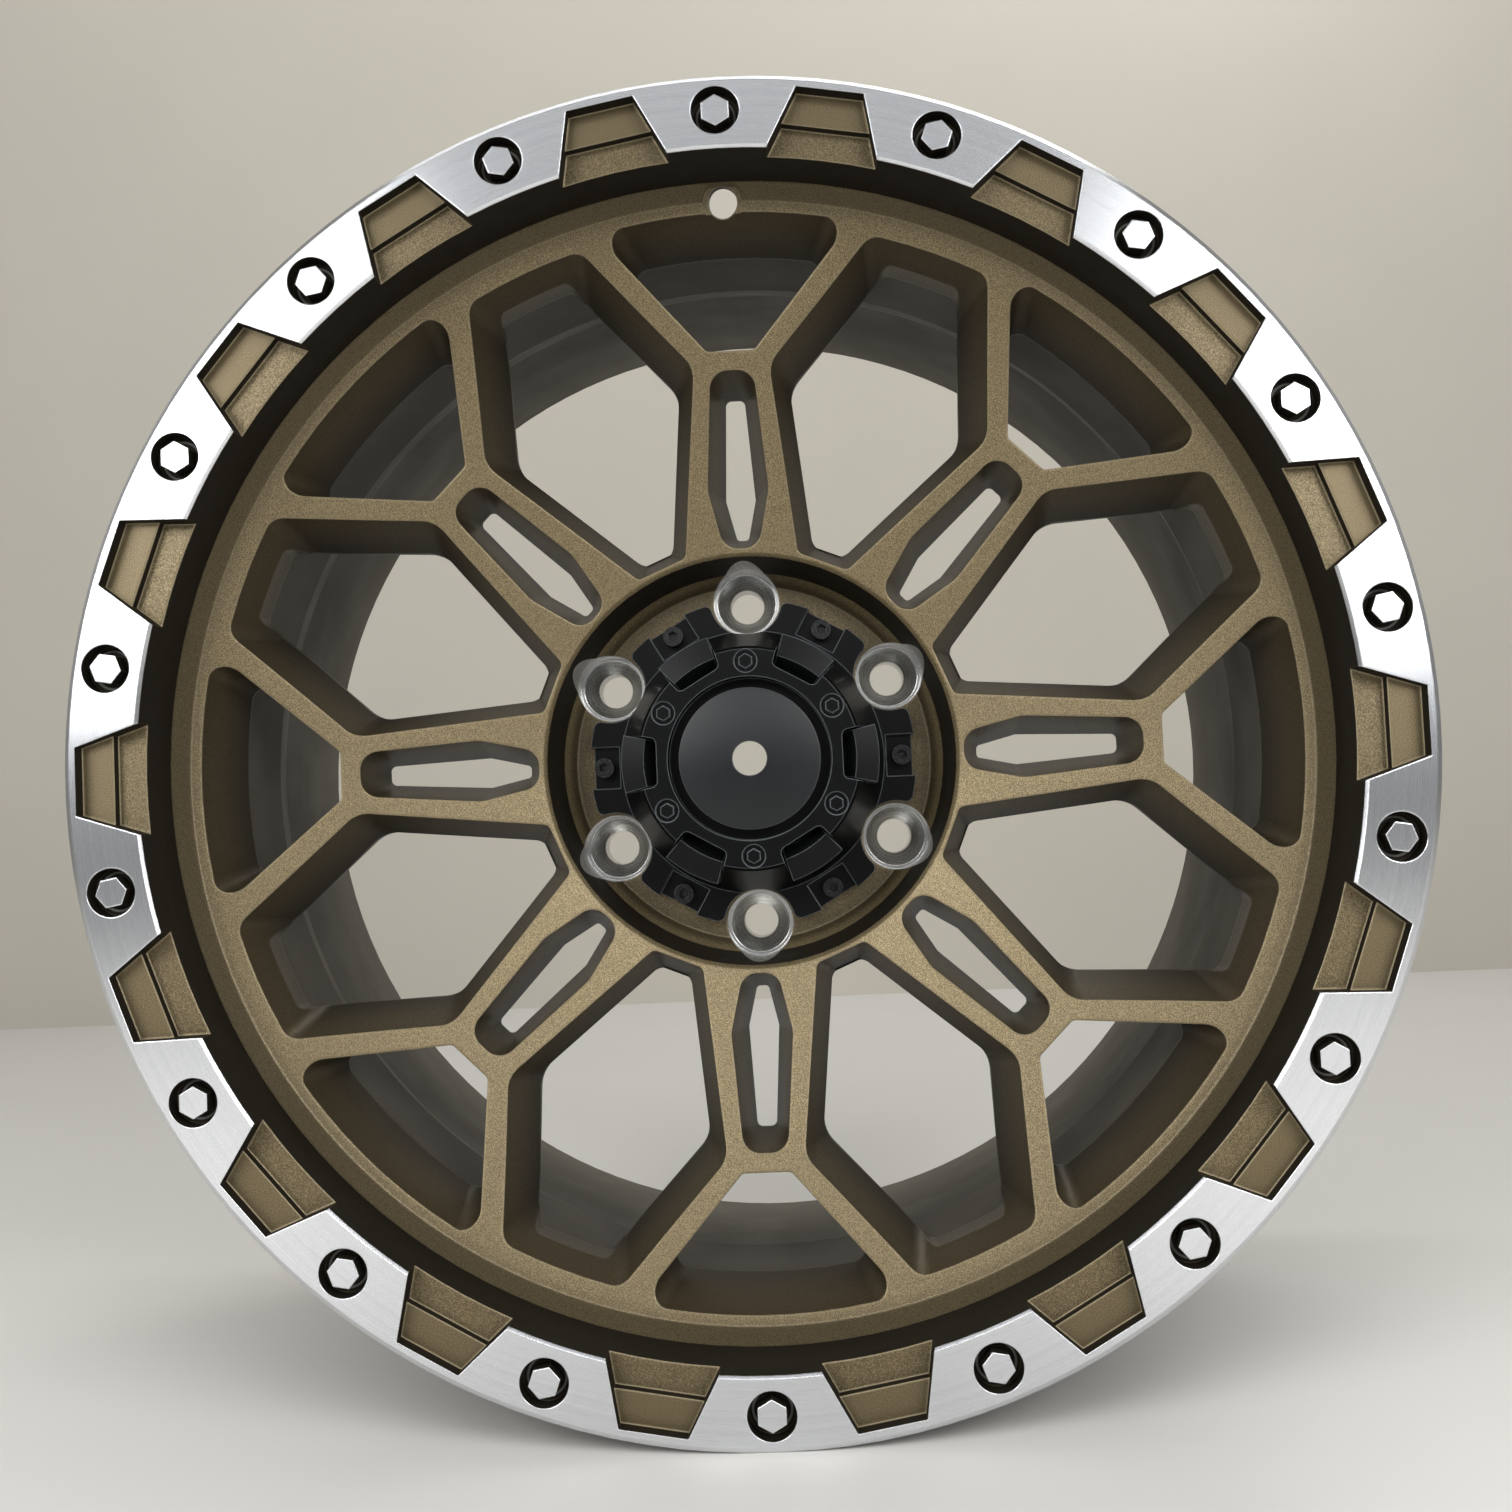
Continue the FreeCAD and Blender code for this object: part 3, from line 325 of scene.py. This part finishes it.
def bronze_paint():
    """Satin bronze paint with fine metal flake, with painted shade on its walls and corners, thinner and
    painted darker deep inside the openings.
    """
    graph = Graph("bronze_paint")
    radius = graph.radius()
    depth = graph.depth()

    # The paint itself
    flake = graph.ramp(graph.noise(scale=3000.0, detail=1.0), *FLAKE_RANGE)
    cloud = graph.ramp(graph.noise(scale=45.0, detail=4.0), *CLOUD_RANGE, to_high=0.18)
    paint = graph.mix(flake, BRONZE_BASE, BRONZE_FLAKE)
    paint = graph.mix(cloud, paint, BRONZE_CLOUD)

    # Painted shade on walls that face sideways, at the foot of the lip's wall and in the hub's corner, and
    # a darker tone in the pockets
    side_wall_shade = graph.ramp(graph.facing(), SIDE_FACING, FRONT_FACING, to_low=0.75, to_high=0.0)
    paint = graph.mix(side_wall_shade, paint, BRONZE_SIDE_WALL_SHADE)
    # Painted shade at the foot of the lip's wall, behind the pockets
    lip_wall_foot_shade = graph.ramp(radius, FACE_RING_R + 6 * MM, LIP_INNER_R - 3 * MM, to_high=0.4)
    behind_pockets = graph.ramp(depth, 12 * MM, 20 * MM)
    paint = graph.mix(graph.product(lip_wall_foot_shade, behind_pockets), paint, BRONZE_LIP_WALL_SHADE)
    # Painted shadow of the hub's wall on the hub floor, darkest in the corner
    on_hub_floor = graph.ramp(depth, HUB_FLOOR_DEPTH - 4 * MM, HUB_FLOOR_DEPTH - MM)
    hub_wall_shadow = graph.ramp(radius, HUB_WALL_R - 22 * MM, HUB_WALL_R, to_low=0.15, to_high=0.8)
    paint = graph.mix(graph.product(on_hub_floor, hub_wall_shadow), paint, BRONZE_HUB_WALL_SHADOW)
    beyond_pocket_edge = graph.ramp(radius, POCKET_INNER_R, POCKET_INNER_R + MM)
    above_pocket_floor = graph.ramp(depth, POCKET_DEPTH, POCKET_DEPTH + MM, to_low=0.30, to_high=0.0)
    paint = graph.mix(graph.product(beyond_pocket_edge, above_pocket_floor), paint, BRONZE_POCKET)

    # Painted highlight on the edges, and darker far behind the cone on which the spokes' faces lie, as
    # thinner paint and painted shade
    normal = graph.rounded(PAINT_EDGE_R)
    paint = graph.mix(graph.edge_highlight_share(normal, share=0.45), paint, BRONZE_EDGE_HIGHLIGHT)
    slope_part = graph.product(graph.math("SUBTRACT", FACE_RING_R, radius), FACE_SLOPE)
    face_depth = graph.math("ADD", slope_part, FACE_RING_DEPTH)
    below_face = graph.ramp(graph.math("SUBTRACT", depth, face_depth), 3 * MM, 30 * MM)
    beyond_hub = graph.ramp(radius, HUB_WALL_R, HUB_WALL_R + 5 * MM)
    # Thinner paint and painted shade far behind the face cone, but not on the hub
    paint = graph.mix(graph.product(below_face, beyond_hub), paint, BRONZE_THIN_AND_SHADED)

    grain = graph.noise(scale=1500.0, detail=2.0)
    graph.set(
        Base_Color=paint,
        Metallic=0.55,
        Roughness=graph.ramp(flake, 0.0, 1.0, to_low=0.48, to_high=0.38),
        Normal=graph.bump(grain, distance=0.00006, strength=0.35, normal=normal),
    )
    return graph.material


def dark_paint_and_shade():
    """The same paint system where almost none reached, darkened further as painted shade: the lip's inner
    wall, pocket walls and hub wall.
    """
    graph = Graph("dark_paint_and_shade")
    depth = graph.depth()
    cloud = graph.noise(scale=60.0, detail=3.0)
    flake = graph.ramp(graph.noise(scale=2600.0, detail=1.0), *DARK_FLAKE_RANGE, to_high=0.2)
    colour = graph.mix(cloud, DARK_LOW, DARK_HIGH)
    colour = graph.mix(flake, colour, DARK_FLAKE)

    # A faint painted highlight in a ring on the floor of the recess round each hexagon
    from_hexagon = graph.distance_to_ring(HEXAGON_COUNT, HEXAGON_RING_R)
    off_ring_highlight = graph.math("ABSOLUTE", graph.math("SUBTRACT", from_hexagon, RECESS_RING_HIGHLIGHT_R))
    on_ring_highlight = graph.ramp(off_ring_highlight, 0.2 * MM, 0.6 * MM, to_low=0.7, to_high=0.0)
    floor_begins = graph.ramp(depth, RECESS_FLOOR_DEPTH - 0.6 * MM, RECESS_FLOOR_DEPTH - 0.2 * MM)
    floor_ends = graph.ramp(
        depth, RECESS_FLOOR_DEPTH + 0.2 * MM, RECESS_FLOOR_DEPTH + 0.6 * MM, to_low=1.0, to_high=0.0
    )
    on_floor = graph.product(floor_begins, floor_ends)
    colour = graph.mix(graph.product(on_ring_highlight, on_floor), colour, RECESS_RING_HIGHLIGHT)

    normal = graph.rounded(DARK_EDGE_R)
    # Painted highlight on the edges
    colour = graph.mix(graph.edge_highlight_share(normal, share=0.3), colour, DARK_EDGE_HIGHLIGHT)
    grain = graph.noise(scale=1500.0, detail=2.0)
    graph.set(
        Base_Color=colour,
        Roughness=graph.ramp(cloud, *MID_NOISE, to_low=0.60, to_high=0.72),
        Specular_IOR_Level=0.15,
        Normal=graph.bump(grain, distance=0.00006, strength=0.3, normal=normal),
    )
    return graph.material


def turned_lip():
    """Bare aluminium with the fine rings that a lathe leaves, under a clear coat."""
    graph = Graph("turned_lip")
    ring_place = graph.join(graph.radius(), 0.0, 0.0)
    rings = graph.noise(scale=9000.0, detail=2.0, vector=ring_place)
    bands = graph.noise(scale=420.0, detail=3.0, vector=ring_place)
    tangent = graph.nodes.new("ShaderNodeTangent")
    tangent.direction_type = "RADIAL"
    tangent.axis = "Y"
    normal = graph.rounded(LIP_EDGE_R)
    graph.set(
        Base_Color=graph.mix(bands, LIP_LOW, LIP_HIGH),
        Metallic=1.0,
        Roughness=graph.ramp(rings, *MID_NOISE, to_low=0.22, to_high=0.32),
        Anisotropic=0.85,
        Anisotropic_Rotation=0.25,
        Tangent=tangent.outputs[0],
        Coat_Weight=0.15,
        Coat_Roughness=0.12,
        Normal=graph.bump(rings, distance=0.00001, strength=0.25, normal=normal),
    )
    return graph.material


def machined_seat():
    """Bare aluminium cut by a tool that turned about each lug hole, with painted shade where it cut the hub
    wall.
    """
    graph = Graph("machined_seat")
    depth = graph.depth()
    from_lug = graph.distance_to_ring(LUG_COUNT, LUG_CIRCLE_R)
    rings = graph.noise(scale=5200.0, detail=2.0, vector=graph.join(from_lug, depth, 0.0))
    colour = graph.mix(rings, SEAT_LOW, SEAT_HIGH)
    # Painted shade on the cut in the hub wall, above the hub floor
    shade_in_wall = graph.ramp(
        depth, HUB_FLOOR_DEPTH - 20 * MM, HUB_FLOOR_DEPTH + 2 * MM, to_low=0.85, to_high=0.0
    )
    normal = graph.rounded(SEAT_EDGE_R)
    graph.set(
        Base_Color=graph.mix(shade_in_wall, colour, SEAT_SHADE_IN_WALL),
        Metallic=1.0,
        Roughness=graph.ramp(rings, *MID_NOISE, to_low=0.18, to_high=0.32),
        Normal=graph.bump(rings, distance=0.00003, strength=0.4, normal=normal),
    )
    return graph.material


def machined_pad():
    """The bare face that meets the hub, turned about the wheel's axis and dulled by handling."""
    graph = Graph("machined_pad")
    rings = graph.noise(scale=3000.0, detail=2.0, vector=graph.join(graph.radius(), 0.0, 0.0))
    stain = graph.noise(scale=55.0, detail=5.0)
    colour = graph.mix(rings, PAD_LOW, PAD_HIGH)
    stained = graph.ramp(stain, *STAIN_RANGE, to_high=0.5)
    normal = graph.rounded(PAD_EDGE_R)
    graph.set(
        Base_Color=graph.mix(stained, colour, PAD_STAIN),
        Metallic=0.9,
        Roughness=graph.ramp(stain, *MID_NOISE, to_low=0.38, to_high=0.52),
        Normal=graph.bump(rings, distance=0.00002, strength=0.3, normal=normal),
    )
    return graph.material


def barrel_paint():
    """Thin grey-brown paint inside the barrel and on the tyre side, with faint marks from turning and
    painted light towards the rear.
    """
    graph = Graph("barrel_paint")
    depth = graph.depth()
    rings = graph.noise(scale=2400.0, detail=3.0, vector=graph.join(depth, graph.radius(), 0.0))
    cloud = graph.noise(scale=30.0, detail=4.0)
    colour = graph.mix(cloud, BARREL_LOW, BARREL_HIGH)
    # Painted light, lighter towards the open rear of the barrel
    rear = graph.ramp(depth, 150 * MM, 250 * MM, to_high=0.6)
    normal = graph.rounded(BARREL_EDGE_R)
    graph.set(
        Base_Color=graph.mix(rear, colour, BARREL_REAR_LIGHT),
        Roughness=graph.ramp(cloud, *MID_NOISE, to_low=0.52, to_high=0.64),
        Specular_IOR_Level=0.25,
        Normal=graph.bump(rings, distance=0.00004, strength=0.3, normal=normal),
    )
    return graph.material


def black_plastic(name, low, high, edge, specular, dome=0.0):
    """Satin black moulded plastic with a fine grain and a painted highlight on its edges, shaded as a dome
    if a height is given.
    """
    graph = Graph(name)
    grain = graph.noise(scale=3200.0, detail=2.0)
    normal = graph.rounded(CAP_EDGE_R)
    colour = graph.mix(graph.noise(scale=70.0, detail=3.0), low, high)
    # Painted highlight on the edges, in the given edge colour
    colour = graph.mix(graph.edge_highlight_share(normal, share=0.8), colour, edge)
    if dome:
        share = graph.math("POWER", graph.math("DIVIDE", graph.radius(), CAP_DISC_R), 2.0)
        normal = graph.bump(graph.math("SUBTRACT", 1.0, share), distance=dome, strength=1.0, normal=normal)
    graph.set(
        Base_Color=colour,
        Roughness=graph.ramp(grain, *MID_NOISE, to_low=0.28, to_high=0.38),
        Specular_IOR_Level=specular,
        Normal=graph.bump(grain, distance=0.00003, strength=0.3, normal=normal),
    )
    return graph.material


def cap_plastic():
    """The cap's lands, skirt and flange, deep black."""
    return black_plastic("cap_plastic", CAP_LOW, CAP_HIGH, CAP_EDGE_HIGHLIGHT, specular=0.12)


def cap_disc():
    """The cap's disc, glossier, and lighter in colour as painted sheen."""
    return black_plastic("cap_disc", DISC_SHEEN_LOW, DISC_SHEEN_HIGH, DISC_EDGE_HIGHLIGHT, specular=0.30, dome=DISC_DOME)


def screw_steel():
    """Black oxide steel, a little brighter where a key has rubbed it."""
    graph = Graph("screw_steel")
    rub = graph.noise(scale=900.0, detail=3.0)
    normal = graph.rounded(SCREW_EDGE_R)
    colour = graph.mix(graph.ramp(rub, *RUB_RANGE), SCREW_LOW, SCREW_HIGH)
    # Painted highlight on the edges
    graph.set(
        Base_Color=graph.mix(graph.edge_highlight_share(normal, share=0.4), colour, SCREW_EDGE_HIGHLIGHT),
        Metallic=0.6,
        Roughness=graph.ramp(rub, *MID_NOISE, to_low=0.32, to_high=0.45),
        Normal=normal,
    )
    return graph.material


def lug_distance(x, z):
    """Distance from the nearest lug hole's axis."""
    step = math.tau / LUG_COUNT
    turn = round(math.atan2(x, z) / step) * step
    return math.hypot(x - LUG_CIRCLE_R * math.sin(turn), z - LUG_CIRCLE_R * math.cos(turn))


def wheel_zone(centre, normal):
    """Which finish a face of the wheel has, from where it is and which way it looks."""
    depth = centre.y - FRONT_Y
    radius = math.hypot(centre.x, centre.z)
    facing = -normal.y
    outward = (normal.x * centre.x + normal.z * centre.z) / radius
    if facing < BACK_FACING:
        on_pad = radius < HUB_PAD_R and abs(depth - MOUNT_DEPTH) < DEPTH_SLACK
        return "machined_pad" if on_pad else "barrel_paint"
    if radius > LIP_ZONE_R and depth < LIP_ZONE_DEPTH and facing > SIDE_FACING:
        return "turned_lip"
    if radius > POCKET_INNER_R and depth < POCKET_DEPTH and outward < OUTER_FACING:
        recess = abs(depth - RECESS_FLOOR_DEPTH) < DEPTH_SLACK
        return "bronze_paint" if facing > FLAT_FACING and not recess else "dark_paint_and_shade"
    if radius > BARREL_R and (outward > SIDE_FACING or depth > FACE_BACK_DEPTH):
        return "barrel_paint"
    if radius > LIP_WALL_R and depth < FACE_RING_DEPTH and facing < SIDE_FACING:
        return "dark_paint_and_shade"
    relief_wall = depth > RELIEF_TOP_DEPTH and abs(facing) < UPRIGHT_FACING
    if (depth > SEAT_TOP_DEPTH or relief_wall) and lug_distance(centre.x, centre.z) < SEAT_ZONE_R:
        return "machined_seat"
    if radius < HUB_EDGE_R and depth < HUB_FLOOR_DEPTH and facing < SIDE_FACING:
        return "dark_paint_and_shade"
    return "bronze_paint"


def cap_zone(centre, normal):
    """The disc's front, or the rest of the cap."""
    on_disc = math.hypot(centre.x, centre.z) < CAP_DISC_R and -normal.y > FLAT_FACING
    return "cap_disc" if on_disc else "cap_plastic"


def screw_zone(centre, normal):
    """The screws have one finish all over."""
    return "screw_steel"


def dress(node, makers, zone):
    """Gives a node one material for each maker, and each face the one that its zone names."""
    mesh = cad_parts[node].data
    mesh.materials.clear()
    slots = {}
    for maker in makers:
        slots[maker.__name__] = len(mesh.materials)
        mesh.materials.append(maker())
    for face in mesh.polygons:
        face.material_index = slots[zone(face.center, face.normal)]


WHEEL_FINISHES = (bronze_paint, dark_paint_and_shade, turned_lip, machined_seat, machined_pad, barrel_paint)
dress("wheel", WHEEL_FINISHES, wheel_zone)
dress("centre_cap", (cap_plastic, cap_disc), cap_zone)
dress("cap_screws", (screw_steel,), screw_zone)


def plain_surface(name, colour, rough):
    """A matt studio surface with a faint unevenness."""
    graph = Graph(name)
    shade = tuple(FAINT_SHADE * level for level in colour[:3]) + (1.0,)
    cloud = graph.noise(scale=6.0, detail=4.0)
    graph.set(Base_Color=graph.mix(cloud, shade, colour), Roughness=rough)
    return graph.material


def sheet(name, corners, material):
    """A flat four-sided surface of the studio."""
    mesh = bpy.data.meshes.new(name)
    mesh.from_pydata(corners, [], [(0, 1, 2, 3)])
    mesh.materials.append(material)
    thing = bpy.data.objects.new(name, mesh)
    bpy.context.scene.collection.objects.link(thing)


FLOOR_CORNERS = (
    (-STUDIO_HALF, -STUDIO_HALF, FLOOR_Z),
    (STUDIO_HALF, -STUDIO_HALF, FLOOR_Z),
    (STUDIO_HALF, WALL_Y, FLOOR_Z),
    (-STUDIO_HALF, WALL_Y, FLOOR_Z),
)
WALL_CORNERS = (
    (-STUDIO_HALF, WALL_Y, FLOOR_Z),
    (STUDIO_HALF, WALL_Y, FLOOR_Z),
    (STUDIO_HALF, WALL_Y, WALL_TOP),
    (-STUDIO_HALF, WALL_Y, WALL_TOP),
)
sheet("floor", FLOOR_CORNERS, plain_surface("studio_floor", FLOOR_COLOUR, rough=0.6))
sheet("wall", WALL_CORNERS, plain_surface("studio_wall", WALL_COLOUR, rough=0.8))


def softbox(name, place, target, width, height, watts):
    """A soft rectangular lamp that looks at a point."""
    lamp = bpy.data.lights.new(name, "AREA")
    lamp.shape = "RECTANGLE"
    lamp.size = width
    lamp.size_y = height
    lamp.energy = watts
    thing = bpy.data.objects.new(name, lamp)
    bpy.context.scene.collection.objects.link(thing)
    thing.location = place
    thing.rotation_euler = (Vector(target) - Vector(place)).to_track_quat("-Z", "Y").to_euler()


for lamp_values in LAMPS:
    softbox(*lamp_values)

world = bpy.data.worlds.new("studio")
world.use_nodes = True
background = world.node_tree.nodes["Background"]
background.inputs["Color"].default_value = WORLD_COLOUR
background.inputs["Strength"].default_value = WORLD_LEVEL
bpy.context.scene.world = world

lens = bpy.data.cameras.new("photo_view")
lens.lens = LENS_MM
lens.sensor_width = SENSOR_MM
camera = bpy.data.objects.new("photo_view", lens)
bpy.context.scene.collection.objects.link(camera)
camera.location = CAMERA_AT
camera.rotation_euler = Euler([math.radians(turn) for turn in CAMERA_TURN_DEG])
bpy.context.scene.camera = camera
bpy.context.scene.view_settings.view_transform = "Standard"
